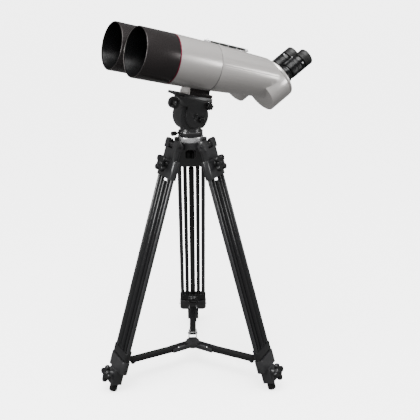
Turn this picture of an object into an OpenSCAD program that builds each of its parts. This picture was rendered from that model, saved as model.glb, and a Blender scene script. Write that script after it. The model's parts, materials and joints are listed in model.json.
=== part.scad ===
// Giant 45-degree astronomy binocular on a levelling-bowl video tripod.
// +Z is up, the object glasses look along -Y, millimetres, z = 0 is the floor under the rubber feet.

/* [Object end] */
// Outer diameter of a dew shield
dew_d = 140; // [128:1:150]
// Length of a dew shield
dew_len = 103; // [80:1:125]
// Wall of the dew shields and tubes
tube_wall = 3; // [2:0.5:5]
// Distance between the two optical axes
axis_gap = 158; // [152:1:190]
// Clear aperture of an object glass
lens_d = 100; // [80:1:106]

/* [Tubes] */
// Length of a front tube, from the red ring to the seam
front_tube_len = 135; // [110:1:165]
// Diameter of the tube at the seam
seam_d = 135; // [126:1:140]
// Diameter of the tube where it enters the prism housing
rear_d = 112; // [104:1:120]
// Length of the tapered rear tube, measured along the axis
rear_tube_len = 196; // [180:1:220]

/* [Prism housing and eyepieces] */
// Diameter of a prism housing
housing_d = 123; // [116:1:130]
// Depth of a prism housing, measured along the eyepiece axis
housing_depth = 70; // [60:1:80]
// Thickness of the rear plate that carries both eyepieces
plate_t = 9; // [6:0.5:12]
// Distance between the two eyepieces
pupil_gap = 66; // [62:1:70]
// Diameter of the knurled grips
grip_d = 54; // [46:1:56]
// Length of an eyepiece, from the rear plate to the end of the cup
eyepiece_len = 150; // [130:1:170]

/* [Pointing] */
// Height of the tilt axis above the floor
tilt_axis_z = 877; // [870:1:890]
// Nose-up tilt of the telescope at rest
tilt = 14; // [0:1:30]
// Height of the optical axes above the tilt axis
axis_rise = 152.8; // [148:0.1:170]
// Distance from the tilt axis forward to the front rim
nose_len = 258; // [240:1:280]

/* [Carrying handle] */
// Length of the handle bar
handle_len = 136; // [110:1:145]
// Width of the handle bar
handle_w = 30; // [24:1:36]
// Height of the finger space under the bar
handle_room = 43; // [40:1:55]

/* [Head] */
// Diameter of the tilt drum
drum_d = 96; // [84:1:100]
// Width of the tilt drum
drum_w = 52; // [44:1:60]
// Length of the sliding plate
slide_len = 124; // [110:1:150]
// Width of the sliding plate
slide_w = 50; // [44:1:54]
// Diameter of the pan base
pan_d = 74.6; // [68:0.2:78]
// Diameter of the levelling ball
ball_d = 65; // [60:0.5:66]

/* [Bowl and spider] */
// Outer diameter of the polished bowl ring
bowl_d = 78.4; // [76:0.2:84]
// Height of the top of the bowl ring above the floor
bowl_z = 814; // [812:1:816]
// Height of the polished ring
bowl_ring_h = 15; // [12:1:18]

/* [Legs] */
// Radius of the circle through the leg hinges
hinge_r = 58; // [56:0.5:66]
// Height of the leg hinges above the floor
hinge_z = 790; // [780:1:800]
// Radius of the circle through the feet
foot_circle_r = 301; // [270:1:330]
// Diameter of the twin leg tubes
twin_d = 13; // [11:0.5:14]
// Diameter of the centre leg tube
centre_d = 18; // [16:0.5:19]
// Distance between the inner twin tubes
inner_gap = 41; // [40:0.5:44]
// Distance between the outer twin tubes
outer_gap = 77; // [72:0.5:84]
// Wall of the leg tubes
leg_wall = 1.5; // [1:0.25:2.5]
// Thickness of the leg castings
casting_t = 24; // [21:1:28]
// Diameter of a rubber foot
foot_d = 26; // [23:1:30]

/* [Spreader] */
// Radius of the hub's three pivots
hub_r = 66; // [62:1:72]
// Height of the hub's pivots above the floor
hub_z = 87; // [84:0.5:92]
// Width of a spreader arm
arm_t = 22; // [18:1:26]
// Depth of a spreader arm
arm_h = 14; // [10:1:18]

/* [Hidden] */
$fn = 64;

// Clearances: same-body seats, sliding or turning neighbours, and pins in their holes.
seat = 0.1;
clear = 0.3;
run = 0.05;
over = 1;      // how far a cutter runs past a face
body_grey = "#bcb9b6";
dew_grey = "#5a5552";
black = "#18181a";
casting = "#2b2b2d";
silver = "#d8d8da";
rubber = "#101011";
glass = "#7fa6a8";

// --- frames ---------------------------------------------------------------
module on_axis() translate([0, axis_y, 0]) children();
module tilted() on_axis() translate([0, 0, tilt_axis_z]) rotate([-tilt, 0, 0]) children();
// Optical frame: x = 0 between the tubes, y counts back from the front rim, z from the optical axes.
module optical() tilted() translate([0, -nose_len, axis_rise]) children();
// Eyepiece frame: z runs up and back along the eyepieces, y down the rear plate.
module eye() optical() rotate([-45, 0, 0]) children();
leg_az = [270, 30, 150];
splay = atan((foot_circle_r - hinge_r) / hinge_z);
// Leg frame: z = -s at distance s down the leg, x points outward, y along the hinge pin.
module leg(i) on_axis() turn(i) translate([hinge_r, 0, hinge_z])
  rotate([0, -splay, 0]) children();
module turn(i) rotate([0, 0, leg_az[i - 1]]) children();

// --- general shapes -------------------------------------------------------
// A disc or tube along y, from y0 to y1.
module y_disc(r, y0, y1) translate([0, y0, 0]) rotate([-90, 0, 0]) cylinder(r = r, h = y1 - y0);
module x_disc(r, x0, x1) translate([x0, 0, 0]) rotate([0, 90, 0]) cylinder(r = r, h = x1 - x0);
module y_cone(r0, r1, y0, y1) translate([0, y0, 0]) rotate([-90, 0, 0])
  cylinder(r1 = r0, r2 = r1, h = y1 - y0);
// A bar with round ends, standing from z = -s1 to z = -s0.
module stadium(half_w, t, s0, s1) {
  translate([-t / 2, -half_w + t / 2, -s1]) cube([t, 2 * half_w - t, s1 - s0]);
  for (side = [-1, 1]) translate([0, side * (half_w - t / 2), -s1]) cylinder(d = t, h = s1 - s0);
}
module s_rod(d, y, s0, s1) translate([0, y, -s1]) cylinder(d = d, h = s1 - s0);
module s_tube(d, y, s0, s1) difference() {
  s_rod(d, y, s0, s1);
  s_rod(d - 2 * leg_wall, y, s0 - over, s1 + over);
}

// --- telescope ------------------------------------------------------------
ring_w = 3;
seam_y = dew_len + ring_w + front_tube_len;
seam_gap = 0.6;
rear_y = seam_y + rear_tube_len;
housing_v = 341;                       // how far down the rear plate the housing's centre lies
housing_u1 = 344;
housing_u0 = housing_u1 - housing_depth;
plate_u0 = housing_u1 + seat;
plate_u1 = plate_u0 + plate_t;
ring_d = dew_d + 0.6;

module at_tube(side) translate([side * axis_gap / 2, 0, 0]) children();

module dew_shield(side) color(dew_grey) optical() at_tube(side) difference() {
  y_disc(dew_d / 2, 0, dew_len - seat);
  y_disc(dew_d / 2 - tube_wall, -over, dew_len - 20);
  y_disc(lens_d / 2 + 6, -over, dew_len + over);
}
module accent_rings() color("#82283c") optical() for (side = [-1, 1]) at_tube(side) difference() {
  y_disc(ring_d / 2, dew_len, dew_len + ring_w);
  y_disc(lens_d / 2 + 12, dew_len - over, dew_len + ring_w + over);
}
cell_r = lens_d / 2 + 5.5;
module objective_cells() color(black) optical() for (side = [-1, 1]) at_tube(side) difference() {
  union() {
    y_disc(cell_r, dew_len - 14, dew_len + 32);
    y_disc(cell_r + 6, dew_len + ring_w + seat, dew_len + ring_w + 8);
  }
  y_disc(lens_d / 2 - 2, dew_len - 20, dew_len + 40);
  y_disc(lens_d / 2 + 1, dew_len - 20, dew_len + 26);
}
module objective_lenses() color(glass, 0.5) optical() for (side = [-1, 1]) at_tube(side) {
  lens_r = lens_d / 2 + 1 - seat;
  bulge_r = 180;
  intersection() {
    y_disc(lens_r, dew_len - 8, dew_len + 12);
    translate([0, dew_len - 6 + bulge_r, 0]) sphere(r = bulge_r, $fn = 96);
  }
  y_disc(lens_r, dew_len + 13, dew_len + 20);
}
module front_tube(side) color(body_grey) optical() at_tube(side) difference() {
  y_cone(dew_d / 2, seam_d / 2, dew_len + ring_w + seat, seam_y);
  y_cone(dew_d / 2 - tube_wall, seam_d / 2 - tube_wall, dew_len + ring_w + 8 + seat, seam_y + 0.01);
  y_disc(cell_r + 6 + seat, dew_len, dew_len + ring_w + 8 + over);
  y_disc(seam_d / 2 - tube_wall - 0.01, seam_y - 0.5, seam_y + over);
}

// Half spaces in the eyepiece frame.
module beyond_plate() translate([-400, -600, housing_u1]) cube([800, 1200, 600]);
module tube_solid(extra) y_cone(seam_d / 2 + extra, rear_d / 2 + extra, seam_y + seam_gap, rear_y + 60);
web_top = 22;
web_bottom = -38;
web_y0 = seam_y + 4;
web_y1 = rear_y - 14;
module rear_body(side) color(body_grey) optical() difference() {
  union() {
    at_tube(side) tube_solid(0);
    rotate([-45, 0, 0]) translate([side * axis_gap / 2, housing_v, housing_u0])
      cylinder(d = housing_d, h = housing_depth);
    translate([side > 0 ? seat / 2 : -axis_gap / 2, web_y0, web_bottom])
      cube([axis_gap / 2 - seat / 2, web_y1 - web_y0, web_top - web_bottom]);
  }
  rotate([-45, 0, 0]) beyond_plate();
  at_tube(side) y_cone(seam_d / 2 - tube_wall, rear_d / 2 - tube_wall, seam_y - 0.01, rear_y + 20);
  rotate([-45, 0, 0]) translate([side * axis_gap / 2, housing_v, housing_u0 + tube_wall])
    cylinder(d = housing_d - 2 * tube_wall, h = housing_depth);
  // pocket that lightens the web
  translate([side > 0 ? 4 : -9, web_y0 + 60, web_bottom + 5])
    cube([5, web_y1 - web_y0 - 70, web_top - web_bottom - 10]);
}
// Prism: a block with a flat 22.5-degree mirror face, held against the rear plate.
prism_w = 62;
module prisms() color(glass, 0.6) eye() for (side = [-1, 1])
  translate([side * axis_gap / 2 - prism_w / 2, housing_v - 34, housing_u1 - 58]) difference() {
    cube([prism_w, 66, 57]);
    translate([-over, 52, -over]) rotate([-22.5, 0, 0]) cube([prism_w + 2 * over, 60, 90]);
  }
plate_v = housing_v - 3;
exit_r = 20;
module end_plate() color(body_grey) eye() difference() {
  translate([0, 0, plate_u0]) {
    for (side = [-1, 1]) translate([side * axis_gap / 2, plate_v, 0])
      cylinder(d = housing_d + 4, h = plate_t);
    translate([-axis_gap / 2, plate_v - housing_d / 2 - 2, 0])
      cube([axis_gap, housing_d + 4, plate_t]);
  }
  for (side = [-1, 1]) translate([side * axis_gap / 2, plate_v, plate_u0 - over])
    cylinder(r = exit_r, h = plate_t + 2 * over);
}

// --- eyepieces ------------------------------------------------------------
arm_v = 34;                            // how far the eyepiece hangs below its turret pivot
eye_x = pupil_gap / 2;
turret_u0 = plate_u1 + clear;
turret_t = 15;
holder_u1 = turret_u0 + turret_t + 10;
focus_u0 = holder_u1 + clear;
focus_len = 30;
barrel_u0 = turret_u0 + 4;
cup_u1 = plate_u1 + eyepiece_len;
cup_len = 30;
cup_u0 = cup_u1 - cup_len;
grip_u0 = focus_u0 + focus_len + 9;
field_r = 15;
thread_r = 19;
arm_r = grip_d / 2 - 0.5;
arm_reach = sqrt(pow(axis_gap / 2 - eye_x, 2) + pow(arm_v, 2));
module at_eye(side) translate([side * eye_x, plate_v + arm_v, 0]) children();
module turret(side) color(black) eye() difference() {
  union() {
    // round-ended arm from the pivot to the eyepiece
    translate([side * axis_gap / 2, plate_v, turret_u0]) {
      cylinder(r = arm_r, h = turret_t);
      rotate([0, 0, atan2(arm_v, side * (eye_x - axis_gap / 2))])
        translate([0, 2 - arm_r, 1]) cube([arm_reach, 2 * arm_r - 4, turret_t - 2]);
    }
    // pilot that turns in the rear plate
    translate([side * axis_gap / 2, plate_v, plate_u0 + 1])
      cylinder(r = exit_r - run, h = plate_t + 4);
    at_eye(side) translate([0, 0, turret_u0]) cylinder(r = grip_d / 2 + 0.5, h = holder_u1 - turret_u0);
  }
  at_eye(side) translate([0, 0, barrel_u0]) cylinder(r = thread_r + clear, h = 100);
  // light path through the rhomboid arm
  translate([side * axis_gap / 2, plate_v, plate_u0]) cylinder(r = field_r, h = plate_t + turret_t - 4);
  at_eye(side) translate([0, 0, turret_u0 + 3]) cylinder(r = field_r, h = 100);
}
module focus_ring(side) color(black) eye() at_eye(side) difference() {
  translate([0, 0, focus_u0]) cylinder(d = grip_d + 3, h = focus_len);
  translate([0, 0, focus_u0 - over]) cylinder(r = thread_r + clear, h = focus_len + 2 * over);
  // knurling: flutes round the ring
  for (a = [0:15:345]) rotate([0, 0, a]) translate([grip_d / 2 + 2.2, 0, focus_u0 + 5])
    cylinder(r = 1.6, h = focus_len - 10, $fn = 16);
}
module eyepiece(side) color(black) eye() at_eye(side) difference() {
  union() {
    translate([0, 0, barrel_u0 + 6]) cylinder(r = thread_r, h = grip_u0 - barrel_u0 - 5);
    translate([0, 0, grip_u0]) cylinder(d = grip_d, h = cup_u0 - 2 - grip_u0);
    translate([0, 0, grip_u0]) cylinder(r = thread_r, h = cup_u1 - 8 - grip_u0);
  }
  translate([0, 0, barrel_u0]) cylinder(r = field_r, h = cup_u0 - barrel_u0);
  translate([0, 0, cup_u1 - 12]) cylinder(r = field_r - 1, h = 30);
}
module eyecup(side) color(rubber) eye() at_eye(side) difference() {
  translate([0, 0, cup_u0]) cylinder(d = grip_d, h = cup_len);
  translate([0, 0, cup_u0 - over]) cylinder(r = thread_r + clear, h = cup_len + 2 * over);
  translate([0, 0, cup_u1 - 8]) cylinder(r1 = thread_r + clear, r2 = grip_d / 2 - 2, h = 8.01);
}

// --- handle and saddle ----------------------------------------------------
bar_z0 = web_top + handle_room;
bar_t = 9;
bar_y0 = web_y0 + 17;
bar_y1 = bar_y0 + handle_len;
foot_y0 = web_y0 + 1;
module handle() color(silver) optical() {
  translate([-handle_w / 2, bar_y0, bar_z0]) cube([handle_w, handle_len, bar_t]);
  // front leg with its sloping wedge
  translate([-8, 0, 0]) rotate([90, 0, 90]) linear_extrude(16)
    polygon([[foot_y0, web_top + seat], [foot_y0 + 14, web_top + seat], [bar_y0 + 14, bar_z0 + 1],
      [bar_y0, bar_z0 + bar_t], [foot_y0, bar_z0 - 1]]);
  // rear leg curving down behind the bar
  translate([-handle_w / 2, bar_y1, bar_z0]) rotate([90, 0, 90]) intersection() {
    cylinder(r = bar_t, h = handle_w);
    cube([bar_t, bar_t, handle_w]);
  }
  translate([-8, bar_y1 - 2, web_top + seat]) cube([16, bar_t + 2, bar_z0 - web_top]);
  // sight post
  translate([0, bar_y0 + 2, bar_z0 + bar_t - 1]) cylinder(r1 = 3, r2 = 1.2, h = 6);
}
insert_n = 4;
insert_gap = 3;
insert_len = (handle_len - 10 - (insert_n - 1) * insert_gap) / insert_n;
module handle_inserts() color(rubber) optical() for (side = [-1, 1], k = [0:insert_n - 1])
  translate([side * (handle_w / 2 + 1 + seat) - 1, bar_y0 + 5 + k * (insert_len + insert_gap), bar_z0 + 1])
    cube([2, insert_len, bar_t - 2.5]);

saddle_w = 54;
saddle_half = 35;                      // half length of the saddle block
saddle_tail = 45;                      // how far its base runs back
screw_y = 18;                          // half spacing of the two plate screws
slide_z0 = 53.3;                       // above the tilt axis
slide_t = 8;
saddle_base_z = slide_z0 + slide_t + seat;
module saddle() color(body_grey) difference() {
  union() {
    tilted() translate([-saddle_w / 2, -saddle_half, saddle_base_z])
      cube([saddle_w, 2 * saddle_half, 70]);
    tilted() translate([-saddle_w / 2 - 3, -saddle_half, saddle_base_z])
      cube([saddle_w + 6, saddle_half + saddle_tail, 9]);
  }
  optical() for (side = [-1, 1]) at_tube(side) {
    y_cone(dew_d / 2 + seat, seam_d / 2 + seat, dew_len + ring_w, seam_y + 0.01);
    y_cone(seam_d / 2 + seat, rear_d / 2 + seat, seam_y, rear_y + 60);
  }
  optical() translate([-60, web_y0 - seat - 60, web_bottom - seat]) cube([120, 260, 120]);
  // two tapped holes for the plate screws
  for (y = [-screw_y, screw_y]) tilted() translate([0, y, saddle_base_z - over]) cylinder(r = 3, h = 16);
}
slide_y0 = 46 - slide_len;                // its rear end stays behind the saddle
module slide_plate() color(casting) tilted() {
  difference() {
    translate([-slide_w / 2, slide_y0, slide_z0]) cube([slide_w, slide_len, slide_t]);
    for (y = [-screw_y, screw_y]) translate([0, y, slide_z0 - over]) {
      cylinder(r = 3.2, h = slide_t + 2 * over);
      cylinder(r = 5.2, h = 4.5 + over);
    }
    translate([-3.5, slide_y0 + 14, slide_z0 - over]) cube([7, slide_len / 4, slide_t + 2 * over]);
  }
}

// --- head -----------------------------------------------------------------
drum_r = drum_d / 2;
cheek_x0 = drum_w / 2 + clear;
cheek_x1 = cheek_x0 + 8;
cheek_r = 34;
deck_z0 = drum_r + 0.4;
deck_z1 = slide_z0 - clear;
deck_y0 = -52;
deck_y1 = 46;
rail_w = 7;
rosette_y = -83;
rosette_z = 32;
rosette_r = 17.5;
pan_bar_r = 3;                         // hole for the pan bar's M6 bolt
knob_y = 33;
knob_z = 38;
stub_r = 9;
module platform() color(casting) tilted() difference() {
  union() {
    translate([-cheek_x1, deck_y0, deck_z0]) cube([2 * cheek_x1, deck_y1 - deck_y0, deck_z1 - deck_z0]);
    for (side = [-1, 1]) {
      // rail beside the sliding plate
      translate([side > 0 ? slide_w / 2 + clear : -slide_w / 2 - clear - rail_w, deck_y0, deck_z0])
        cube([rail_w, deck_y1 - deck_y0, slide_z0 + slide_t - 1 - deck_z0]);
      // cheek round the drum's end
      x_disc(cheek_r, side > 0 ? cheek_x0 : -cheek_x1, side > 0 ? cheek_x1 : -cheek_x0);
      translate([side > 0 ? cheek_x0 : -cheek_x1, -cheek_r, 0])
        cube([cheek_x1 - cheek_x0, 2 * cheek_r, deck_z1]);
    }
    // ear with the pan-bar rosette
    translate([cheek_x0, rosette_y, rosette_z]) {
      translate([0, 0, -6]) cube([cheek_x1 - cheek_x0, 50, deck_z1 - rosette_z + 6]);
      x_disc(rosette_r, 0, cheek_x1 - cheek_x0 + 4);
    }
    translate([0, knob_y, knob_z]) x_disc(9, cheek_x0, cheek_x1 + 3);
  }
  x_disc(stub_r + run, -100, 100);
  translate([0, rosette_y, rosette_z]) x_disc(pan_bar_r, 0, 60);
  translate([0, knob_y, knob_z]) x_disc(3 + run, 0, 100);
  translate([0, tilt_knob_y, tilt_knob_z]) x_disc(3 + run, 0, 100);
}
tilt_knob_y = 19;
tilt_knob_z = -6;
// A round knob with grip lobes on a spindle, pointing along +x from x = 0.
module x_knob(r, t, stem) {
  lobe_r = 0.36 * r;
  x_disc(3, -stem, t - 1);
  x_disc(0.88 * r, 0, t);
  for (a = [0:60:300]) rotate([a, 0, 0]) translate([0, r - lobe_r, 0]) x_disc(lobe_r, 0, t - 0.5);
}
module plate_knob() color(black) tilted() translate([cheek_x1 + 3 + clear, knob_y, knob_z]) x_knob(11.5, 17, 10);
module tilt_knob() color(black) tilted() translate([cheek_x1 + clear, tilt_knob_y, tilt_knob_z]) x_knob(10, 12, 7.5);

pan_top = tilt_axis_z - 39;
module head_body() color(casting) on_axis() {
  translate([0, 0, pan_top + clear]) cylinder(r = 33, h = 4);
  translate([0, 0, tilt_axis_z]) difference() {
    x_disc(drum_r, -drum_w / 2, drum_w / 2);
    translate([-60, -60, -100 + pan_top + clear - tilt_axis_z]) cube([120, 120, 100]);
    x_disc(stub_r - 4, -100, 100);
  }
  for (side = [-1, 1]) translate([0, 0, tilt_axis_z]) difference() {
    x_disc(stub_r, side > 0 ? drum_w / 2 - over : -cheek_x1, side > 0 ? cheek_x1 : -drum_w / 2 + over);
    x_disc(stub_r - 4, -100, 100);
  }
}
ball_z = bowl_z - 1;
flange_z0 = bowl_z + 3;
stud_r = 5;
module pan_base() color(casting) on_axis() difference() {
  union() {
    translate([0, 0, ball_z]) intersection() {
      sphere(d = ball_d, $fn = 96);
      translate([-50, -50, -60]) cube([100, 100, 60]);
    }
    translate([0, 0, ball_z - 0.1]) cylinder(r = ball_d / 2 - 3, h = flange_z0 - ball_z + 0.2);
    translate([0, 0, flange_z0]) cylinder(d = pan_d, h = 13);
    translate([0, 0, flange_z0]) cylinder(d = pan_d - 10, h = pan_top - flange_z0);
    translate([0, 0, ball_z - 72]) cylinder(r = stud_r, h = 60);
    translate([0, -pan_d / 2 - 3, pan_knob_z]) rotate([-90, 0, 0]) cylinder(r = 7, h = 12);
  }
  translate([0, -pan_d / 2 - 4, pan_knob_z]) rotate([-90, 0, 0]) cylinder(r = 3 + run, h = 16);
}
pan_knob_z = flange_z0 + 9.5;
module pan_knob() color(black) on_axis() translate([0, -pan_d / 2 - 3 - clear - 3, pan_knob_z]) rotate([0, 0, -90])
  x_knob(7, 28, 14);
module tie_down_knob() color(black) on_axis() translate([0, 0, ball_z - 70]) difference() {
  union() {
    cylinder(r = 11, h = 26);
    for (a = [0:90:270]) rotate([0, 0, a]) translate([13, 0, 0]) cylinder(r = 7, h = 13);
    cylinder(r = 15, h = 13);
  }
  translate([0, 0, -over]) cylinder(r = stud_r + run, h = 40);
}
cup_r = ball_d / 2 + clear;
module bowl() color(silver) on_axis() difference() {
  union() {
    translate([0, 0, bowl_z - bowl_ring_h]) cylinder(d = bowl_d, h = bowl_ring_h);
    translate([0, 0, ball_z]) intersection() {
      sphere(r = cup_r + 3, $fn = 96);
      translate([-50, -50, -29]) cube([100, 100, 25]);
    }
  }
  translate([0, 0, ball_z]) sphere(r = cup_r, $fn = 96);
  translate([0, 0, ball_z]) cylinder(r = cup_r, h = 20);
}

// --- spider and legs ------------------------------------------------------
tongue_w = 28;
pin_r = 4;
module spider() color(casting) on_axis() difference() {
  union() {
    translate([0, 0, hinge_z - 12]) cylinder(r = bowl_d / 2 + 2, h = bowl_z - bowl_ring_h - seat - hinge_z + 12);
    for (i = [1:3]) turn(i) {
      translate([30, -tongue_w / 2, hinge_z - 9]) cube([hinge_r - 30, tongue_w, 18]);
      translate([hinge_r, tongue_w / 2, hinge_z]) rotate([90, 0, 0]) cylinder(r = 9, h = tongue_w);
      translate([bowl_d / 2 + 9.5, 0, hinge_z - 4]) cylinder(r = 6.5, h = 28);
    }
  }
  translate([0, 0, hinge_z - 20]) cylinder(r = cup_r + 3 + seat, h = 40);
  for (i = [1:3]) turn(i) translate([hinge_r, 30, hinge_z]) rotate([90, 0, 0])
    cylinder(r = pin_r, h = 60);
  translate([0, 0, bowl_z - bowl_ring_h - seat]) cylinder(r = bowl_d / 2 + seat, h = 40);
}
bracket_half = 37;
clamp_half = outer_gap / 2 + twin_d / 2 + 3;
seam_s = 42;
clamp_s1 = 100;
guide_s0 = 674;
guide_s1 = 700;
collar_s0 = 703;
collar_s1 = 745;
clamp_body_s1 = 795;
pivot_s = 715;                         // the spreader pivot, down the leg
pivot_x = -40;                         // and inward from the tubes
arm_pin_r = 3;
lug_t = 5;
knob_s = 60;
low_knob_s = 762;
low_boss_x = 31;                       // end of the boss that carries the lower knob
module pair(gap) for (y = [-gap / 2, gap / 2]) translate([0, y, 0]) children();

module leg_bracket(i) color(casting) leg(i) {
  difference() {
    union() {
      stadium(bracket_half, casting_t, 10, seam_s);
      for (side = [-1, 1]) translate([0, side * (tongue_w / 2 + clear + bracket_half) / 2, 0]) {
        cheek_w = bracket_half - tongue_w / 2 - clear;
        // cheek, sloped down towards the bowl
        translate([0, cheek_w / 2, 0]) rotate([90, 0, 0]) linear_extrude(cheek_w)
          polygon([[-casting_t / 2, -12], [casting_t / 2, -12], [casting_t / 2, 13], [casting_t / 2 - 4, 18],
            [casting_t / 2 - 10, 18], [-casting_t / 2, 7]]);
      }
    }
    translate([0, 60, 0]) rotate([90, 0, 0]) cylinder(r = pin_r, h = 120);
    pair(inner_gap) s_rod(twin_d + 2 * seat, 0, 20, seam_s + over);
  }
  // hinge pin
  translate([0, bracket_half - 2, 0]) rotate([90, 0, 0]) cylinder(r = pin_r - run, h = 2 * bracket_half - 4);
}
module upper_tubes(i) color(black) leg(i) {
  pair(inner_gap) s_tube(twin_d, 0, 20 + seat, guide_s1 - 6);
  difference() {
    union() {
      stadium(outer_gap / 2 + twin_d / 2 + 2.5, casting_t - 4, guide_s0, guide_s1);
      translate([pivot_x + 14, -arm_t / 2 - clear - lug_t, -guide_s1])
        cube([-pivot_x - 14 - 5, arm_t + 2 * clear + 2 * lug_t, 20]);
      for (side = [-1, 1]) translate([0, side * (arm_t / 2 + clear + lug_t / 2), 0]) {
        translate([pivot_x, lug_t / 2, -pivot_s]) rotate([90, 0, 0]) cylinder(r = 8, h = lug_t);
        translate([0, lug_t / 2, 0]) rotate([90, 0, 0]) linear_extrude(lug_t)
          polygon([[pivot_x + 24, -guide_s1 + 16], [pivot_x + 24, -guide_s1], [pivot_x + 8, -pivot_s],
            [pivot_x - 6, -pivot_s + 5]]);
      }
    }
    pair(inner_gap) s_rod(twin_d + 2 * seat, 0, guide_s0 - over, guide_s1 - 6 + seat);
    pair(outer_gap) s_rod(twin_d + 2 * clear, 0, guide_s0 - over, guide_s1 + over);
    s_rod(centre_d + 2 * clear, 0, guide_s0 - over, guide_s1 + over);
    translate([pivot_x, 30, -pivot_s]) rotate([90, 0, 0]) cylinder(r = arm_pin_r + run, h = 60);
  }
  translate([pivot_x, arm_t / 2 + clear + lug_t, -pivot_s]) rotate([90, 0, 0])
    cylinder(r = arm_pin_r, h = arm_t + 2 * clear + 2 * lug_t);
}
module leg_clamp(i) color(casting) leg(i) difference() {
  union() {
    stadium(clamp_half, casting_t, seam_s + clear, clamp_s1);
    translate([0, 0, -knob_s]) x_disc(9, 0, casting_t / 2 + 10);
  }
  pair(inner_gap) s_rod(twin_d + 2 * clear, 0, seam_s - over, clamp_s1 + over);
  pair(outer_gap) s_rod(twin_d + 2 * seat, 0, clamp_s1 - 40, clamp_s1 + over);
  translate([0, 0, -knob_s]) x_disc(4 + run, casting_t / 2 - 8, casting_t / 2 + 10 + over);
}
module outer_tubes(i) color(black) leg(i) {
  pair(outer_gap) s_tube(twin_d, 0, clamp_s1 - 40 + seat, collar_s1 - 4);
  difference() {
    union() {
      stadium(clamp_half + 1, casting_t + 4, collar_s0, collar_s1);
      translate([-15, -20, -clamp_body_s1]) cube([34, 40, clamp_body_s1 - collar_s1 + over]);
      translate([0, 0, -low_knob_s]) x_disc(10, 0, low_boss_x);
    }
    pair(outer_gap) s_rod(twin_d + 2 * seat, 0, collar_s0 - over, collar_s1 - 4 + seat);
    s_rod(centre_d + 2 * clear, 0, collar_s0 - over, clamp_body_s1 + over);
    translate([0, 0, -low_knob_s]) x_disc(4 + run, centre_d / 2 + 3, low_boss_x + over);
    // clamping slit
    translate([centre_d / 2 - 2, -1, -clamp_body_s1 - over]) cube([30, 2, 14]);
  }
}
module centre_tube(i) color(black) leg(i) s_tube(centre_d, 0, clamp_s1 + 12, 802);
foot_ball_r = 18;
foot_flat = 0.4;                       // the rubber is pressed flat where it meets the floor
foot_ball_s = (hinge_z - foot_ball_r + foot_flat) / cos(splay);
module leg_foot(i) color(rubber) difference() {
  leg(i) union() {
    s_rod(foot_d, 0, 797, foot_ball_s + 10);
    intersection() {
      translate([0, 0, -foot_ball_s]) sphere(r = foot_ball_r, $fn = 96);
      s_rod(foot_d, 0, foot_ball_s, foot_ball_s + foot_ball_r + over);
    }
  }
  leg(i) s_rod(centre_d + 2 * seat, 0, 797 - over, 802 + seat);
  translate([-500, -500, -20]) cube([1000, 1000, 20]);
}
star_t = 14;
star_reach = 29;
module star_knob(stem) {
  x_disc(4, -stem, 4);
  x_disc(15, 0, star_t - 1);
  for (a = [45:90:315]) rotate([a, 0, 0]) translate([0, star_reach - 9, 0]) x_disc(9, 2, star_t);
}
module upper_knob(i) color(black) leg(i) translate([casting_t / 2 + 10 + clear, 0, -knob_s]) star_knob(16);
module lower_knob(i) color(black) leg(i) translate([low_boss_x + clear, 0, -low_knob_s]) rotate([45, 0, 0])
  star_knob(18);

pivot_r = hinge_r + pivot_s * sin(splay) + pivot_x * cos(splay);
pivot_z = hinge_z - pivot_s * cos(splay) + pivot_x * sin(splay);
arm_len = sqrt(pow(pivot_r - hub_r, 2) + pow(pivot_z - hub_z, 2));
arm_droop = asin((hub_z - pivot_z) / arm_len);
module spreader_arm(i) color(black) on_axis() turn(i) translate([pivot_r, 0, pivot_z]) rotate([0, arm_droop, 0])
  difference() {
    union() {
      translate([0, arm_t / 2, 0]) rotate([90, 0, 0]) cylinder(d = arm_h, h = arm_t);
      translate([-arm_len, -arm_t / 2, -arm_h / 2]) cube([arm_len, arm_t, arm_h]);
      translate([-arm_len, arm_t / 2, 0]) rotate([90, 0, 0]) cylinder(d = arm_h, h = arm_t);
    }
    translate([0, 30, 0]) rotate([90, 0, 0]) cylinder(r = arm_pin_r + run, h = 60);
  }
hub_cap_r = 23;
channel_w = arm_t + 1;
channel_wall = 3;
channel_floor = 2;
floor_end = hub_r - 18;                // the arms dip below the channel beyond it
module spreader_hub() color(black) on_axis() translate([0, 0, hub_z]) {
  difference() {
    union() {
      translate([0, 0, -arm_h / 2 - 2]) cylinder(r = hub_cap_r, h = arm_h + 3);
      for (i = [1:3]) turn(i) translate([0, -channel_w / 2 - channel_wall, -arm_h / 2 - 1])
        cube([hub_r + 16, channel_w + 2 * channel_wall, arm_h]);
    }
    for (i = [1:3]) turn(i) {
      translate([hub_cap_r + 1, -channel_w / 2, channel_floor - arm_h / 2 - 1]) cube([200, channel_w, 3 * arm_h]);
      translate([floor_end, -channel_w / 2, -arm_h]) cube([200, channel_w, 3 * arm_h]);
    }
  }
  // heads of the three pivot bolts
  for (i = [1:3]) turn(i) for (side = [-1, 1])
    translate([hub_r, side * (channel_w / 2 + channel_wall + 1), 0]) rotate([90, 0, 0])
      cylinder(r = 3.5, h = 3, center = true);
}

// --- where the origin lies ------------------------------------------------
// Under the middle of the object's box, so the tripod axis stands a little off it.
cup_v = plate_v + arm_v;
reach_back = ((cup_u1 + cup_v) / sqrt(2) - nose_len) * cos(tilt)
  + ((cup_u1 - cup_v) / sqrt(2) + axis_rise) * sin(tilt) + grip_d / 2 * cos(45 + tilt);
reach_front = hinge_r + (low_knob_s + star_reach) * sin(splay) + (low_boss_x + clear + star_t) * cos(splay);
axis_y = (reach_front - reach_back) / 2;

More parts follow.
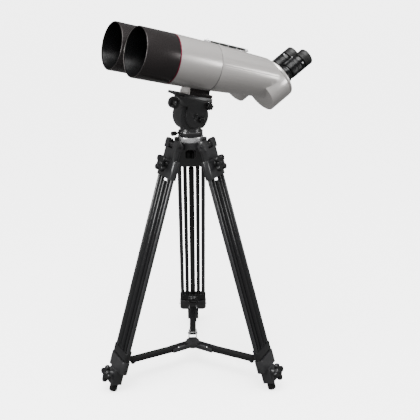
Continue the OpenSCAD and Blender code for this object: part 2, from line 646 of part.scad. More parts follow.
dew_shield(-1);  // left_dew_shield
dew_shield(1);  // right_dew_shield
accent_rings();
objective_cells();
objective_lenses();
front_tube(-1);  // left_tube
front_tube(1);  // right_tube
rear_body(-1);  // left_rear_body
rear_body(1);  // right_rear_body
prisms();
end_plate();
handle();
handle_inserts();
saddle();
slide_plate();
turret(-1);  // left_turret
turret(1);  // right_turret
focus_ring(-1);  // left_focus_ring
focus_ring(1);  // right_focus_ring
eyepiece(-1);  // left_eyepiece
eyepiece(1);  // right_eyepiece
eyecup(-1);  // left_eyecup
eyecup(1);  // right_eyecup
platform();
plate_knob();
tilt_knob();
head_body();
pan_base();
pan_knob();
tie_down_knob();
bowl();
spider();
spreader_hub();
leg_bracket(1);  // leg_1_bracket
leg_bracket(2);  // leg_2_bracket
leg_bracket(3);  // leg_3_bracket
upper_tubes(1);  // leg_1_upper_tubes
upper_tubes(2);  // leg_2_upper_tubes
upper_tubes(3);  // leg_3_upper_tubes
leg_clamp(1);  // leg_1_clamp
leg_clamp(2);  // leg_2_clamp
leg_clamp(3);  // leg_3_clamp
outer_tubes(1);  // leg_1_outer_tubes
outer_tubes(2);  // leg_2_outer_tubes
outer_tubes(3);  // leg_3_outer_tubes
centre_tube(1);  // leg_1_centre_tube
centre_tube(2);  // leg_2_centre_tube
centre_tube(3);  // leg_3_centre_tube
leg_foot(1);  // leg_1_foot
leg_foot(2);  // leg_2_foot
leg_foot(3);  // leg_3_foot
upper_knob(1);  // leg_1_upper_knob
upper_knob(2);  // leg_2_upper_knob
upper_knob(3);  // leg_3_upper_knob
lower_knob(1);  // leg_1_lower_knob
lower_knob(2);  // leg_2_lower_knob
lower_knob(3);  // leg_3_lower_knob
spreader_arm(1);  // spreader_arm_1
spreader_arm(2);  // spreader_arm_2
spreader_arm(3);  // spreader_arm_3
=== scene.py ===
import json
import math
import bpy
import bmesh
from mathutils import Matrix, Vector


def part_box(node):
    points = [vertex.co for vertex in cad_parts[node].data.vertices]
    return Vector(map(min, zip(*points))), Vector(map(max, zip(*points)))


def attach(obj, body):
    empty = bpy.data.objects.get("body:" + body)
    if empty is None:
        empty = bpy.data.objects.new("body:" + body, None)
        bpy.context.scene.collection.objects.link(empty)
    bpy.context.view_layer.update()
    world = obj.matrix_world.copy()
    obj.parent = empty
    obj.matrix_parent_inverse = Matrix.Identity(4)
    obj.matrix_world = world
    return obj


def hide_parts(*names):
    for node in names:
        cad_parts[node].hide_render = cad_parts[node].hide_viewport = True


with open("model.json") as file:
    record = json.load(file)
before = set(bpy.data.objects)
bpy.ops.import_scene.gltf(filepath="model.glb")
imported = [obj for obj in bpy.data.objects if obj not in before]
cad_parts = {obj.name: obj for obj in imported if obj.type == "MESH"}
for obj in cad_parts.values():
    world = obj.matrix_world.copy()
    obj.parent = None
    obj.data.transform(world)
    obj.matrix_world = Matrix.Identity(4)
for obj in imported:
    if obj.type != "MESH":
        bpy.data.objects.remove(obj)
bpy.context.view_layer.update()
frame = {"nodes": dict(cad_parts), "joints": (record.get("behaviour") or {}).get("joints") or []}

# ---------------------------------------------------------------------------
# Levelling bowl. A turned aluminium ring, polished, with a spherical seat inside for the
# 65 mm ball. It drops into the spider from above and carries the whole head.
# ---------------------------------------------------------------------------
mm = 0.001                      # sizes are in millimetres and Blender works in metres


def surface(name, colour, roughness, metallic=0.0, patchy=0.12, grain=900.0, relief=0.04,
            stretch=(1, 1, 1), coat=0.0, shine=0.5):
    """A painted, anodised or moulded surface: slightly uneven in colour and gloss, with a fine grain."""
    made = bpy.data.materials.new(name)
    made.use_nodes = True
    nodes, links = made.node_tree.nodes, made.node_tree.links
    shader = nodes["Principled BSDF"]
    shader.inputs["Metallic"].default_value = metallic
    shader.inputs["Coat Weight"].default_value = coat
    shader.inputs["Specular IOR Level"].default_value = shine
    where = nodes.new("ShaderNodeTexCoord")
    spread = nodes.new("ShaderNodeMapping")
    spread.inputs["Scale"].default_value = stretch
    links.new(where.outputs["Object"], spread.inputs["Vector"])
    clouds = nodes.new("ShaderNodeTexNoise")
    clouds.inputs["Scale"].default_value = 38
    clouds.inputs["Detail"].default_value = 4
    links.new(spread.outputs["Vector"], clouds.inputs["Vector"])
    tone = nodes.new("ShaderNodeValToRGB")
    tone.color_ramp.elements[0].position = 0.3
    tone.color_ramp.elements[1].position = 0.7
    tone.color_ramp.elements[0].color = [c * (1 - patchy) for c in colour] + [1]
    tone.color_ramp.elements[1].color = [min(1, c * (1 + patchy)) for c in colour] + [1]
    links.new(clouds.outputs["Fac"], tone.inputs["Fac"])
    links.new(tone.outputs["Color"], shader.inputs["Base Color"])
    gloss = nodes.new("ShaderNodeMapRange")
    gloss.inputs["From Min"].default_value = 0.25
    gloss.inputs["From Max"].default_value = 0.75
    gloss.inputs["To Min"].default_value = max(0.03, roughness - 0.05)
    gloss.inputs["To Max"].default_value = roughness + 0.05
    specks = nodes.new("ShaderNodeTexNoise")
    specks.inputs["Scale"].default_value = grain
    specks.inputs["Detail"].default_value = 3
    links.new(spread.outputs["Vector"], specks.inputs["Vector"])
    links.new(specks.outputs["Fac"], gloss.inputs["Value"])
    links.new(gloss.outputs["Result"], shader.inputs["Roughness"])
    bump = nodes.new("ShaderNodeBump")
    bump.inputs["Strength"].default_value = relief
    bump.inputs["Distance"].default_value = 0.0004
    links.new(specks.outputs["Fac"], bump.inputs["Height"])
    links.new(bump.outputs["Normal"], shader.inputs["Normal"])
    return made


def placed(name, mesh, body, finish, slot, *stands_for):
    """Puts a finished mesh on its CAD body, with its surface and the node it stands for."""
    crease = math.radians(38)
    mesh.materials.clear()
    mesh.materials.append(finish)
    mesh.shade_smooth()
    mesh.set_sharp_from_angle(angle=crease)
    piece = bpy.data.objects.new(name, mesh)
    bpy.context.scene.collection.objects.link(piece)
    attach(piece, body)
    if stands_for:
        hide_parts(*stands_for)
    return piece


def eased(node, name, body, finish, slot, edge):
    """The CAD shape of a node with its sharp edges broken to a small radius, as a casting has."""
    same_point = 2e-6
    flat_enough = math.radians(0.7)
    sharp_from = math.radians(35)
    mesh = frame["nodes"][node].data.copy()
    if "custom_normal" in mesh.attributes:
        mesh.attributes.remove(mesh.attributes["custom_normal"])
    work = bmesh.new()
    work.from_mesh(mesh)
    bmesh.ops.remove_doubles(work, verts=work.verts, dist=same_point)
    bmesh.ops.dissolve_limit(work, angle_limit=flat_enough, verts=work.verts, edges=work.edges)
    work.to_mesh(mesh)
    work.free()
    raw = bpy.data.objects.new(name + "_raw", mesh)
    bpy.context.scene.collection.objects.link(raw)
    bevel = raw.modifiers.new("eased", "BEVEL")
    bevel.width = edge
    bevel.segments = 2
    bevel.limit_method = "ANGLE"
    bevel.angle_limit = sharp_from
    shaped = bpy.data.meshes.new_from_object(raw.evaluated_get(bpy.context.evaluated_depsgraph_get()))
    bpy.data.objects.remove(raw)
    return placed(name, shaped, body, finish, slot, node)


polished = surface("polished_aluminium", (0.86, 0.86, 0.87), 0.26, 0.72, 0.04, 260, 0.03, (1, 1, 14))
eased("bowl", "levelling_bowl", "tripod_top", polished, "bowl_metal", 0.9 * mm)

# ---------------------------------------------------------------------------
# Spider. The black aluminium casting under the bowl: three forked arms for the legs, and
# three posts with small round nuts that lock the bowl.
# ---------------------------------------------------------------------------
casting = surface("satin_casting", (0.017, 0.017, 0.018), 0.31, 0.0, 0.2, 1300, 0.1, (1, 1, 1), 0.0, 0.9)
eased("spider", "spider_casting", "tripod_top", casting, "dark_casting", 1.2 * mm)


def soften(outline, radius, ring):
    """Rounds the corners of a turned outline, so that every turned edge catches the light."""
    nearly_straight = math.radians(165)
    most_of_edge = 0.42
    corner_share = 0.29
    rounded = []
    count = len(outline)
    for i, p in enumerate(outline):
        if not ring and i in (0, count - 1):
            rounded.append(p)
            continue
        a, b = outline[i - 1], outline[(i + 1) % count]
        to_a = Vector((a[0] - p[0], a[1] - p[1]))
        to_b = Vector((b[0] - p[0], b[1] - p[1]))
        if min(to_a.length, to_b.length) < 1e-9 or to_a.angle(to_b) > nearly_straight:
            rounded.append(p)
            continue
        back = to_a.normalized() * min(radius, most_of_edge * to_a.length)
        on = to_b.normalized() * min(radius, most_of_edge * to_b.length)
        corner = (back + on) * corner_share
        for step in (back, corner, on):
            rounded.append((p[0] + step.x, p[1] + step.y) + tuple(p[2:]))
    return rounded


def turned(outline, place, steps=96, ring=True, pattern=None, edge=0.5):
    """A lathe-turned mesh from (radius, height, pattern share) points in millimetres, round local Z."""
    outline = soften(outline, edge, ring)
    work = bmesh.new()
    rows = []
    for point in outline:
        share = point[2] if len(point) > 2 else 0
        row = []
        for k in range(steps):
            turn = 2 * math.pi * k / steps
            r = point[0] + (share * pattern(turn) if share else 0)
            row.append(work.verts.new(place @ Vector((r * math.cos(turn) * mm, r * math.sin(turn) * mm,
                                                      point[1] * mm))))
        rows.append(row)
    pairs = list(zip(rows, rows[1:] + rows[:1])) if ring else list(zip(rows, rows[1:]))
    for low, high in pairs:
        for k in range(steps):
            n = (k + 1) % steps
            work.faces.new((low[k], low[n], high[n], high[k]))
    if not ring:
        work.faces.new(rows[0][::-1])
        work.faces.new(rows[-1])
    bmesh.ops.recalc_face_normals(work, faces=work.faces)
    mesh = bpy.data.meshes.new("turned")
    work.to_mesh(mesh)
    work.free()
    return mesh


def ribs(count, depth, flat=0.35):
    """A pattern of ribs round a grip, depth deep between them."""
    def cut(turn):
        wave = 0.5 + 0.5 * math.cos(count * turn)
        return -depth * (1 - min(1, wave / (1 - flat)))
    return cut


knob_black = surface("moulded_black", (0.007, 0.007, 0.0075), 0.38, 0.0, 0.2, 1500, 0.1, (1, 1, 1), 0.0, 0.42)
black_steel = surface("blackened_steel", (0.05, 0.05, 0.052), 0.3, 0.8, 0.15, 900, 0.05)
bright_steel = surface("bright_steel", (0.62, 0.62, 0.63), 0.22, 1.0, 0.08, 500, 0.04)
joints = {j["name"]: j for j in frame["joints"]}
middle = Vector(joints["pan"]["pos_m"])
nut_circle = 48.7
nut_top = 814
for n in range(3):
    azimuth = math.radians((270, 30, 150)[n])
    spot = Vector((nut_circle * mm * math.cos(azimuth), middle.y + nut_circle * mm * math.sin(azimuth),
                   nut_top * mm))
    nut = turned([(0.5, -14), (6.9, -14, 1), (7.3, -12, 1), (7.3, -2, 1), (6.4, 0.4, 1), (2.6, 0.4),
                  (2.4, -0.6), (0.5, -0.6)], Matrix.Translation(spot), 96, False, ribs(24, 0.5), 0.4)
    placed("bowl_nut_%d" % (n + 1), nut, "tripod_top", knob_black, "knob_plastic")

# ---------------------------------------------------------------------------
# Levelling ball and pan base. One casting: the ball sits in the bowl, its flange carries the
# pan bearing, and a stud through the bottom takes the tie-down knob.
# ---------------------------------------------------------------------------
eased("pan_base", "levelling_ball_and_base", "levelling_ball", casting, "dark_casting", 1.0 * mm)
ball_height = 813
ball_centre = Vector((0, middle.y, ball_height * mm))
scale_ring = turned([(37.1, 15.2), (37.7, 15.2), (37.7, 16.6, 1), (37.1, 16.6)],
                    Matrix.Translation(ball_centre), 288, True, ribs(72, 0.25), 0.1)
placed("pan_scale_ring", scale_ring, "levelling_ball", bright_steel, "bowl_metal")
tie_lobe = 3.4
tie_knob = turned([(5.1, -12), (14, -12, 1), (16, -9, 1), (16, 8, 1), (13, 11, 1), (9, 14), (8.6, 14.4),
                   (5.1, 14.4)], Matrix.Translation(Vector(joints["tie_down_turn"]["pos_m"])), 96, True,
                  lambda turn: tie_lobe * math.cos(4 * turn), 1.2)
placed("tie_down_grip", tie_knob, "tie_down", knob_black, "knob_plastic", "tie_down_knob")


def facing(spot, axis, up=Vector((0, 0, 1))):
    """The place of a knob or screw: local Z along its spindle, from that spot."""
    axis = Vector(axis).normalized()
    across = up.cross(axis).normalized() if abs(up.dot(axis)) < 0.95 else Vector((1, 0, 0))
    third = axis.cross(across)
    return Matrix.Translation(Vector(spot)) @ Matrix((across, third, axis)).transposed().to_4x4()


pan_screw = joints["pan_lock_turn"]
pan_grip = turned([(0.4, -6), (3.0, -6), (3.0, 6), (6.2, 6, 1), (7, 7.5, 1), (7, 20, 1), (6, 22, 1),
                   (2.2, 22), (2.0, 21.2), (0.4, 21.2)],
                  facing(Vector(pan_screw["pos_m"]) + Vector((0, 6 * mm, 0)), pan_screw["axis"]),
                  120, False, ribs(20, 0.6), 0.5)
placed("pan_grip", pan_grip, "pan_lock", knob_black, "knob_plastic", "pan_knob")

# ---------------------------------------------------------------------------
# Head body. The turntable and the tilt drum with its drag discs inside, one casting that pans
# on the base. Hollow stub shafts at its ends carry the platform.
# ---------------------------------------------------------------------------
eased("head_body", "tilt_drum", "head", casting, "dark_casting", 1.4 * mm)
SIDES = (("left", -1), ("right", 1))
tilt_axis = Vector(joints["tilt"]["pos_m"])
drum_end = 34.2
for label, side in SIDES:
    cap = turned([(0.4, 0), (8.6, 0), (8.6, 2.0), (7.8, 2.6), (5.4, 2.6), (5.0, 1.8), (0.4, 1.8)],
                 facing(tilt_axis + Vector((side * drum_end * mm, 0, 0)), (side, 0, 0)), 72, False)
    placed(label + "_shaft_cap", cap, "head", black_steel, "dark_casting")

# ---------------------------------------------------------------------------
# Tilt platform. The casting that swings on the drum: two cheeks, a deck with rails for the
# sliding plate, and one toothed rosette for a pan bar. Its two lobed knobs lock plate and tilt.
# ---------------------------------------------------------------------------
eased("platform", "tilt_platform_casting", "tilt_platform", casting, "dark_casting", 1.2 * mm)
nose_up = math.radians(14)
level_head = Matrix.Translation(tilt_axis) @ Matrix.Rotation(-nose_up, 4, "X")
rosette = Vector((38.2, -83, 32)) * mm
spot = level_head @ rosette
tooth_count = 36
tooth_deep = 0.45
teeth = turned([(6.5, 0), (16.2, 0), (16.2, 0.6), (15.4, 1.0), (7.0, 1.0), (6.5, 0.6)],
               facing(spot, (1, 0, 0)), 144, True, None, 0.2)
for v in teeth.vertices:
    flat = v.co - spot
    if flat.x > 0.5 * mm:
        v.co.x += tooth_deep * mm * math.cos(tooth_count * math.atan2(flat.z, flat.y))
placed("rosette_teeth", teeth, "tilt_platform", casting, "dark_casting")
thread_ring = turned([(3.1, 0), (4.4, 0), (4.4, 1.2), (3.1, 1.2)], facing(spot, (1, 0, 0)), 48)
placed("rosette_thread", thread_ring, "tilt_platform", bright_steel, "bowl_metal")

lobe_grip = ribs(6, 2.4, 0.2)
for key, reach, deep in (("plate_lock", 11.5, 17), ("tilt_lock", 10, 12)):
    turn_joint = joints[key + "_turn"]
    grip = turned([(0.4, -8), (3, -8), (3, 0), (reach - 1.6, 0, 1), (reach, 2, 1), (reach, deep - 3, 1),
                   (reach - 1.6, deep - 0.6, 1), (3.6, deep), (3.2, deep - 1.2), (0.4, deep - 1.2)],
                  facing(turn_joint["pos_m"], turn_joint["axis"]), 120, False, lobe_grip, 0.8)
    node = key.replace("_lock", "_knob")
    low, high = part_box(node)
    mesh_low = min(v.co.x for v in grip.vertices)
    for v in grip.vertices:
        v.co.x += low.x - mesh_low
    placed(key + "_grip", grip, key, knob_black, "knob_plastic", node)

# ---------------------------------------------------------------------------
# Sliding plate and saddle. The plate runs between the platform's rails; two screws hold it to
# the cradle under the tubes, which is painted like them; its side faces carry dark bronze as painted shade.
# ---------------------------------------------------------------------------
eased("slide_plate", "sliding_plate", "telescope", casting, "dark_casting", 0.8 * mm)
silver_paint = surface("satin_silver_paint", (0.60, 0.575, 0.558), 0.27, 0.5, 0.012, 1500, 0.04,
                       (1, 1, 1), 0.3)
saddle_shape = eased("saddle", "saddle_cradle", "telescope", silver_paint, "silver_paint", 1.6 * mm)
bronze_paint = surface("bronze_paint", (0.042, 0.037, 0.037), 0.26, 0.65, 0.05, 1500, 0.04)
# Painted shade: the saddle's two side faces, those facing along X, take the dark bronze colour.
saddle_shape.data.materials.append(bronze_paint)
for face in saddle_shape.data.polygons:
    if abs(face.normal.x) > 0.9:
        face.material_index = 1

# ---------------------------------------------------------------------------
# Dew shields. Thin spun tubes in dark bronze paint, blackened and finely grooved inside, that
# screw over the object-glass cells.
# ---------------------------------------------------------------------------
tube_gap = 158
nose = 258
axis_rise = 152.8
optics = level_head @ Matrix.Translation((0, -nose * mm, axis_rise * mm))


def along_tube(side):
    """The place of a tube: local Z runs back along its optical axis from the front rim."""
    aside = Matrix.Translation((side * tube_gap / 2 * mm, 0, 0))
    return optics @ aside @ Matrix.Rotation(-math.pi / 2, 4, "X")


# A lighter metallic grey than the bronze paint, for the shields' front rim faces.
rim_edge = surface("light_grey_rim_face", (0.22, 0.21, 0.20), 0.3, 0.9, 0.1, 900, 0.05)
blackened = surface("blackened_inside", (0.003, 0.003, 0.0032), 0.3, 0.0, 0.2, 1500, 0.08, (1, 1, 1),
                    0.0, 0.16)
shield_len = 102.9
shield_r = 70
bore_r = 67
groove_pitch = 4.0
groove_first = 80.0             # the last ring of the baffling, just in front of the glass
rim_room = 6
black_to = 95
for label, side in SIDES:
    outline = [(bore_r, 3), (bore_r + 0.4, 0.6), (shield_r - 1.6, 0), (shield_r, 1.4),
               (shield_r, shield_len - 1), (shield_r - 0.8, shield_len), (56, shield_len), (56, 84),
               (bore_r - 0.4, 83)]
    grooves = []
    depth = groove_first
    while depth > rim_room:
        grooves += [(bore_r - 0.3, depth), (bore_r - 1.4, depth - 0.4), (bore_r - 0.3, depth - 2.6)]
        depth -= groove_pitch
    shell = turned(outline + grooves, along_tube(side), 144, True, None, 0.35)
    shield = placed(label + "_dew_shield_shell", shell, "telescope", bronze_paint, "bronze_paint",
                    label + "_dew_shield")
    shield.data.materials.append(blackened)
    shield.data.materials.append(rim_edge)
    axis_line = along_tube(side)
    for face in shield.data.polygons:
        local = axis_line.inverted() @ face.center
        if math.hypot(local.x, local.y) < (bore_r + 0.3) * mm and local.z < black_to * mm:
            face.material_index = 1
        # The front rim face takes the lighter metallic grey.
        if local.z < 0.5 * mm:
            face.material_index = 2

# ---------------------------------------------------------------------------
# Accent rings. A maroon anodised ring between each dew shield and its tube.
# ---------------------------------------------------------------------------
maroon = surface("maroon_anodised", (0.16, 0.012, 0.034), 0.3, 0.4, 0.06, 900, 0.04)
ring_r = 70.35
ring_outline = [(62, 103), (ring_r, 103), (ring_r + 0.1, 104.5), (ring_r, 106), (62, 106)]
pair = bmesh.new()
for label, side in SIDES:
    ring_mesh = turned(ring_outline, along_tube(side), 144)
    pair.from_mesh(ring_mesh)
pair.to_mesh(ring_mesh)
pair.free()
placed("accent_ring_pair", ring_mesh, "telescope", maroon, "red_ring", "accent_rings")

# ---------------------------------------------------------------------------
# Object glasses. Each cell is a black turned ring with a slotted retaining ring; the coated
# front element and the second element sit in it. The prisms further back have the same glass.
# ---------------------------------------------------------------------------
black_metal = surface("black_anodised", (0.005, 0.005, 0.0054), 0.24, 0.0, 0.15, 1200, 0.04, (1, 1, 1),
                      0.0, 0.3)
eased("objective_cells", "object_glass_cells", "telescope", black_metal, "black_metal", 0.6 * mm)
glass = bpy.data.materials.new("coated_glass")
glass.use_nodes = True
glass_shader = glass.node_tree.nodes["Principled BSDF"]
glass_shader.inputs["Roughness"].default_value = 0.02
glass_shader.inputs["IOR"].default_value = 1.52
glass_shader.inputs["Transmission Weight"].default_value = 0.75
glass_shader.inputs["Coat Weight"].default_value = 0.6
bands = glass.node_tree.nodes.new("ShaderNodeTexNoise")
bands.inputs["Scale"].default_value = 12
tint = glass.node_tree.nodes.new("ShaderNodeValToRGB")
tint.color_ramp.elements[0].color = (0.05, 0.16, 0.13, 1)
tint.color_ramp.elements[1].color = (0.12, 0.10, 0.2, 1)
glass.node_tree.links.new(bands.outputs["Fac"], tint.inputs["Fac"])
glass.node_tree.links.new(tint.outputs["Color"], glass_shader.inputs["Base Color"])
slots = ribs(8, 1.4, 0.6)
for label, side in SIDES:
    retainer = turned([(49.5, 94.6), (51, 92.2, -1), (54.6, 92.2, -1), (55.2, 93, 0), (55.2, 94.6)],
                      along_tube(side), 192, True, slots, 0.2)
    placed(label + "_retaining_ring", retainer, "telescope", black_metal, "black_metal")
for carried in ("objective_lenses", "prisms"):
    node = frame["nodes"][carried]
    node.data.materials.clear()
    node.data.materials.append(glass)

# ---------------------------------------------------------------------------
# Front tubes. Thin turned tubes that taper from the object-glass cell to the seam, in satin
# silver-grey paint; a thin black gasket shows where the rear body begins.
# ---------------------------------------------------------------------------
seam = 241.0
for label, side in SIDES:
    tube = turned([(66.9, 114.5), (66.9, 106.1), (70, 106.1), (69.95, 108), (67.6, seam - 1.2),
                   (67.2, seam), (64.4, seam)], along_tube(side), 144, True, None, 0.5)
    placed(label + "_front_tube", tube, "telescope", silver_paint, "silver_paint", label + "_tube")
    gap_ring = turned([(66.2, seam - 0.2), (67.75, seam - 0.2), (67.75, seam + 0.5), (66.2, seam + 0.5)],
                      along_tube(side), 144, True, None, 0.1)
    placed(label + "_seam_gasket", gap_ring, "telescope", black_metal, "black_metal")

# ---------------------------------------------------------------------------
# Rear bodies. The cast tapered tube, the round prism housing square to the eyepiece and half of
# the web between the tubes, all one painted casting on each side.
# ---------------------------------------------------------------------------
for label, side in SIDES:
    eased(label + "_rear_body", label + "_rear_casting", "telescope", silver_paint, "silver_paint", 1.4 * mm)

# ---------------------------------------------------------------------------
# Rear plate. One machined plate closes both prism housings; black screws round its edge.
# ---------------------------------------------------------------------------
eased("end_plate", "rear_plate", "telescope", silver_paint, "silver_paint", 2.4 * mm)
angled = optics @ Matrix.Rotation(-math.pi / 4, 4, "X")


def cap_screw(spot, axis, head_r):
    """A socket cap screw with its hexagon recess."""
    def hexagon(turn):
        return 0.45 * head_r * (math.cos(math.pi / 6) / math.cos((turn % (math.pi / 3)) - math.pi / 6))
    head = 0.45 * head_r
    return turned([(0.2, -0.5), (head_r, -0.5), (head_r, head), (0, head, 1.25), (0, 0.2 * head_r, 1.15),
                   (0.2, 0.2 * head_r)], facing(spot, axis), 60, False, hexagon, 0.15)


screw_circle = 57
housing_at = 338                # the housings' axis along the plate, and the plate's outer face
plate_face = 353.1
for label, side in SIDES:
    for n, swing in enumerate((-62, 5, 72, 139)):
        turn = math.radians(swing)
        spot = angled @ Vector(((side * tube_gap / 2 + side * screw_circle * math.cos(turn)) * mm,
                                (housing_at + screw_circle * math.sin(turn)) * mm, plate_face * mm))
        screw = cap_screw(spot, joints["left_focus_turn"]["axis"], 2.3)
        placed("%s_plate_screw_%d" % (label, n + 1), screw, "telescope", black_steel, "black_metal")

# ---------------------------------------------------------------------------
# Carrying handle. A satin aluminium bar on two legs that screw to the web, with black rubber
# strips let into its sides and a sight post at the front.
# ---------------------------------------------------------------------------
handle_metal = surface("satin_aluminium", (0.74, 0.74, 0.75), 0.3, 0.6, 0.04, 700, 0.04, (1, 0.2, 1))
eased("handle", "carrying_handle", "telescope", handle_metal, "handle_metal", 1.6 * mm)
rubber = surface("black_rubber", (0.008, 0.008, 0.008), 0.5, 0.0, 0.2, 1800, 0.2, (1, 1, 1), 0.0, 0.35)
eased("handle_inserts", "handle_strips", "telescope", rubber, "rubber", 0.5 * mm)

# ---------------------------------------------------------------------------
# Turrets. Black castings that swing on the rear plate to set the eye spacing; each carries one
# eyepiece holder.
# ---------------------------------------------------------------------------
for label, side in SIDES:
    eased(label + "_turret", label + "_turret_casting", label + "_turret_body", black_metal, "black_metal",
          1.3 * mm)

# ---------------------------------------------------------------------------
# Focus rings. Knurled black rings; turning one runs its eyepiece in and out on a thread.
# ---------------------------------------------------------------------------
ring_knurl = ribs(60, 0.9, 0.3)


def on_eyepiece(label):
    """The place of an eyepiece: local Z runs out along it, from 40 mm above the rear plate."""
    return Matrix.Translation(Vector(joints[label + "_focus_turn"]["pos_m"])) @ Matrix.Rotation(
        -nose_up - math.pi / 4, 4, "X")


for label, side in SIDES:
    ring = turned([(19.3, -14.4), (27.2, -14.4), (28, -13), (28, -10.5), (27, -10), (28.4, -9.2, 1),
                   (28.4, 8.6, 1), (27, 9.6), (28, 10.2), (28, 13.6), (26.8, 15.6), (19.3, 15.6)],
                  on_eyepiece(label), 300, True, ring_knurl, 0.35)
    placed(label + "_focus_grip", ring, label + "_focus", black_metal, "black_metal", label + "_focus_ring")

# ---------------------------------------------------------------------------
# Eyepieces. Black anodised barrels with a steel clamping collar, two knurled grip bands and
# three bright set screws near the top; the eye lens sits down inside.
# ---------------------------------------------------------------------------
set_screw_height = 71.4
set_screw_out = 26.6
for label, side in SIDES:
    place = on_eyepiece(label)
    barrel = turned([(15, -29.6), (19, -29.6), (19, 24.4), (25.2, 24.8), (26.8, 26.6), (26.8, 28.6),
                     (25.4, 29.6), (27, 31, 1), (27, 47, 1), (25.6, 48.4), (25.6, 50.4), (27, 51.6, 1),
                     (27, 63, 1), (25.8, 64.2), (27, 65.4), (27, 75.4), (25.6, 77.8), (19, 77.8),
                     (19, 101.8), (14.2, 101.8), (14.2, 98), (15, 78)], place, 300, True, ring_knurl, 0.35)
    placed(label + "_eyepiece_barrel", barrel, label + "_ocular", black_metal, "black_metal",
           label + "_eyepiece")
    collar = turned([(19, 20.4), (21.6, 20.4), (22, 21), (22, 23.6), (21.6, 24.2), (19, 24.2)], place, 96)
    placed(label + "_bright_collar", collar, label + "_ocular", black_steel, "handle_metal")
    lens = turned([(0.2, 95), (14.6, 95), (14.6, 96), (10, 97.4), (5, 98), (0.2, 98.2)], place, 72, False,
                  None, 0.1)
    placed(label + "_eye_lens", lens, label + "_ocular", glass, "lens_glass")
    for turn in (-12, 108, 228) if side > 0 else (-70, 50, 170):
        out = place.to_3x3() @ Vector((math.cos(math.radians(turn)), math.sin(math.radians(turn)), 0))
        spot = place @ Vector((0, 0, set_screw_height * mm)) + out * set_screw_out * mm
        placed("%s_set_screw_%d" % (label, turn % 360), cap_screw(spot, out, 2.9), label + "_ocular",
               bright_steel, "bowl_metal")

# ---------------------------------------------------------------------------
# Eyecups. Soft black rubber sleeves with two folds, dished at the end; they pull out a little
# for use without spectacles.
# ---------------------------------------------------------------------------
for label, side in SIDES:
    cup = turned([(19.3, 80), (26, 80), (27, 81.6), (27, 85), (25.9, 86.2), (27, 87.6), (27, 91),
                  (25.9, 92.2), (27, 93.6), (27, 107.5), (26, 109.6), (24.6, 109.9), (22.8, 108.6),
                  (19.3, 102)], on_eyepiece(label), 120, True, None, 0.7)
    placed(label + "_rubber_cup", cup, label + "_cup", rubber, "rubber", label + "_eyecup")

# ---------------------------------------------------------------------------
# Legs. Each has a bracket on the spider with twin inner tubes, a clamp casting on twin outer
# tubes that ends in a collar, and a centre tube with the rubber foot.
# ---------------------------------------------------------------------------
tube_black = surface("anodised_tube", (0.009, 0.009, 0.0095), 0.22, 0.0, 0.08, 600, 0.03, (1, 1, 0.1))
star_reach = 29
star_lobe = 9
star_middle = 16.5


def star(turn):
    """The outline of a four-lobed knob: a round middle with a round lobe on each arm."""
    nearest = min(abs((turn - math.pi / 4 - k * math.pi / 2 + math.pi) % (2 * math.pi) - math.pi)
                  for k in range(4))
    lobe_at = star_reach - star_lobe
    under = star_lobe ** 2 - (lobe_at * math.sin(nearest)) ** 2
    lobe = lobe_at * math.cos(nearest) + math.sqrt(under) if under > 0 else 0
    return max(star_middle, lobe)


hinge_half = 36.8               # half widths over the hinge, the collar and the spreader arm's lug
collar_half = 50.4
lug_half = 16.3
collar_down = 728
for i in (1, 2, 3):
    leg = "leg_%d_" % i
    hinge = Vector(joints[leg + "fold"]["pos_m"])
    pin = Vector(joints[leg + "fold"]["axis"])
    down = Vector(joints[leg + "extend"]["axis"])
    eased(leg + "bracket", leg + "bracket_casting", leg + "stage_1", casting, "dark_casting", 2.0 * mm)
    eased(leg + "upper_tubes", leg + "inner_tubes", leg + "stage_1", tube_black, "leg_tube", 0.7 * mm)
    eased(leg + "clamp", leg + "clamp_casting", leg + "stage_2", casting, "dark_casting", 2.0 * mm)
    eased(leg + "outer_tubes", leg + "twin_tubes", leg + "stage_2", casting, "leg_tube", 1.0 * mm)
    eased(leg + "centre_tube", leg + "middle_tube", leg + "stage_3", tube_black, "leg_tube", 0.4 * mm)
    for k, side in enumerate((-1, 1)):
        head = cap_screw(hinge + pin * side * hinge_half * mm, pin * side, 4.6)
        placed(leg + "hinge_screw_%d" % (k + 1), head, leg + "stage_1", black_steel, "bowl_metal")
        low = cap_screw(hinge + pin * side * collar_half * mm + down * collar_down * mm, pin * side, 3.2)
        placed(leg + "collar_screw_%d" % (k + 1), low, leg + "stage_2", black_steel, "bowl_metal")
        lug = Vector(joints["arm_%d_fold" % i]["pos_m"])
        arm_pin = cap_screw(lug + pin * side * lug_half * mm, pin * side, 4.2)
        placed(leg + "arm_screw_%d" % (k + 1), arm_pin, leg + "stage_1", black_steel, "bowl_metal")
    for part, node, base in (("top_lock", "upper_knob", -9.7), ("low_lock", "lower_knob", -8.7)):
        lock = joints[leg + part + "_turn"]
        place = facing(lock["pos_m"], lock["axis"], -down)
        if part == "low_lock":
            place = place @ Matrix.Rotation(math.pi / 4, 4, "Z")
        grip = turned([(0.4, base - 12), (4, base - 12), (4, base), (15, base), (-2.2, base + 1.8, 1),
                       (-0.6, base + 2.8, 1), (0, base + 4.6, 1), (0, base + 10.6, 1), (-0.8, base + 12.6, 1),
                       (-2.8, base + 13.8, 1), (13, base + 13.6), (11.5, base + 12.4), (8, base + 12.4),
                       (6.5, base + 13.8), (3.0, base + 13.8), (0.4, base + 13.8)], place, 144, False, star,
                      0.5)
        placed(leg + node + "_star", grip, leg + part, knob_black, "knob_plastic", leg + node)
        insert = turned([(0.3, base + 13.2), (4.6, base + 13.2), (4.6, base + 14.0), (3.8, base + 14.5),
                         (0.3, base + 14.5)], place, 48, False, None, 0.2)
        placed(leg + node + "_spindle_end", insert, leg + part, black_steel, "bowl_metal")
    eased(leg + "foot", leg + "rubber_foot", leg + "stage_3", rubber, "rubber", 1.5 * mm)

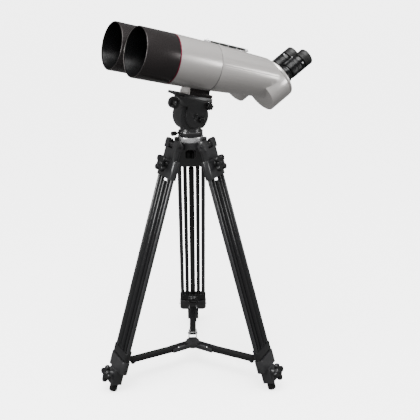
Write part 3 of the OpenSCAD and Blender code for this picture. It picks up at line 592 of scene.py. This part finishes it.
# ---------------------------------------------------------------------------
# Spreader. Three pressed arms run from lugs on the legs to a round hub, which keeps the legs
# from sliding apart.
# ---------------------------------------------------------------------------
for i in (1, 2, 3):
    eased("spreader_arm_%d" % i, "spreader_strut_%d" % i, "arm_%d" % i, tube_black, "leg_tube", 1.2 * mm)
eased("spreader_hub", "spreader_centre", "hub", casting, "leg_tube", 1.0 * mm)

# ---------------------------------------------------------------------------
# Studio. A plain pale sweep of floor and wall, soft light from above and both sides, and the
# camera. The sweep glows evenly and is left out of bounce light and reflections.
# ---------------------------------------------------------------------------
sweep = [(0.01, 0), (24, 0), (27, 0.6), (29, 2.5), (30, 6), (30, 45)]
floor_mesh = turned([(1000 * r, 1000 * h) for r, h in sweep], Matrix.Translation((0, 0, -0.0006)), 96, False)
bare = bmesh.new()
bare.from_mesh(floor_mesh)
lid = [face for face in bare.faces if face.calc_center_median().z > sweep[-1][1] - 1]
bmesh.ops.delete(bare, geom=lid, context="FACES_ONLY")
bare.to_mesh(floor_mesh)
bare.free()
floor = bpy.data.objects.new("studio_floor", floor_mesh)
bpy.context.scene.collection.objects.link(floor)
pale = surface("pale_floor", (0.9, 0.9, 0.9), 0.85, 0.0, 0.004, 20, 0.0)
lit = pale.node_tree.nodes["Principled BSDF"]
lit.inputs["Emission Color"].default_value = (1, 1, 1, 1)
lit.inputs["Emission Strength"].default_value = 3.0
floor_mesh.materials.append(pale)
floor.visible_diffuse = False
floor.visible_glossy = False

world = bpy.data.worlds.new("white_room")
world.use_nodes = True
world.node_tree.nodes["Background"].inputs["Color"].default_value = (1, 1, 1, 1)
world.node_tree.nodes["Background"].inputs["Strength"].default_value = 0.22
bpy.context.scene.world = world


def soft_light(name, spot, aim, size, watts):
    """A large square panel of light at a spot, turned to a point on the object."""
    panel = bpy.data.lights.new(name, "AREA")
    panel.size = size
    panel.energy = watts
    lamp = bpy.data.objects.new(name, panel)
    bpy.context.scene.collection.objects.link(lamp)
    lamp.location = spot
    lamp.rotation_euler = (Vector(aim) - Vector(spot)).to_track_quat("-Z", "Y").to_euler()


soft_light("overhead", (1.3, -0.9, 3.0), (0, 0, 1.0), 1.1, 75)
soft_light("front_left", (0.2, -2.6, 1.6), (0, 0, 0.7), 0.9, 44)
soft_light("right_back", (2.0, 2.2, 1.4), (0, 0, 0.8), 0.8, 20)
sky_panel = bpy.data.lights.new("ceiling", "SUN")
sky_panel.energy = 6.5
sky_panel.angle = math.radians(55)
ceiling = bpy.data.objects.new("ceiling", sky_panel)
bpy.context.scene.collection.objects.link(ceiling)
ceiling.rotation_euler = Vector((-0.28, 0.2, -1)).to_track_quat("-Z", "Y").to_euler()

eye = Vector((1.8011, middle.y - 1.0139, 1.3299))
heading = math.radians(148.98)
pitch = math.radians(20.187)
camera = bpy.data.cameras.new("studio_camera")
camera.sensor_width = 36
camera.lens = 59.34
view = bpy.data.objects.new("studio_camera", camera)
bpy.context.scene.collection.objects.link(view)
view.location = eye
look = Vector((math.cos(pitch) * math.cos(heading), math.cos(pitch) * math.sin(heading), -math.sin(pitch)))
view.rotation_euler = look.to_track_quat("-Z", "Y").to_euler()
bpy.context.scene.camera = view
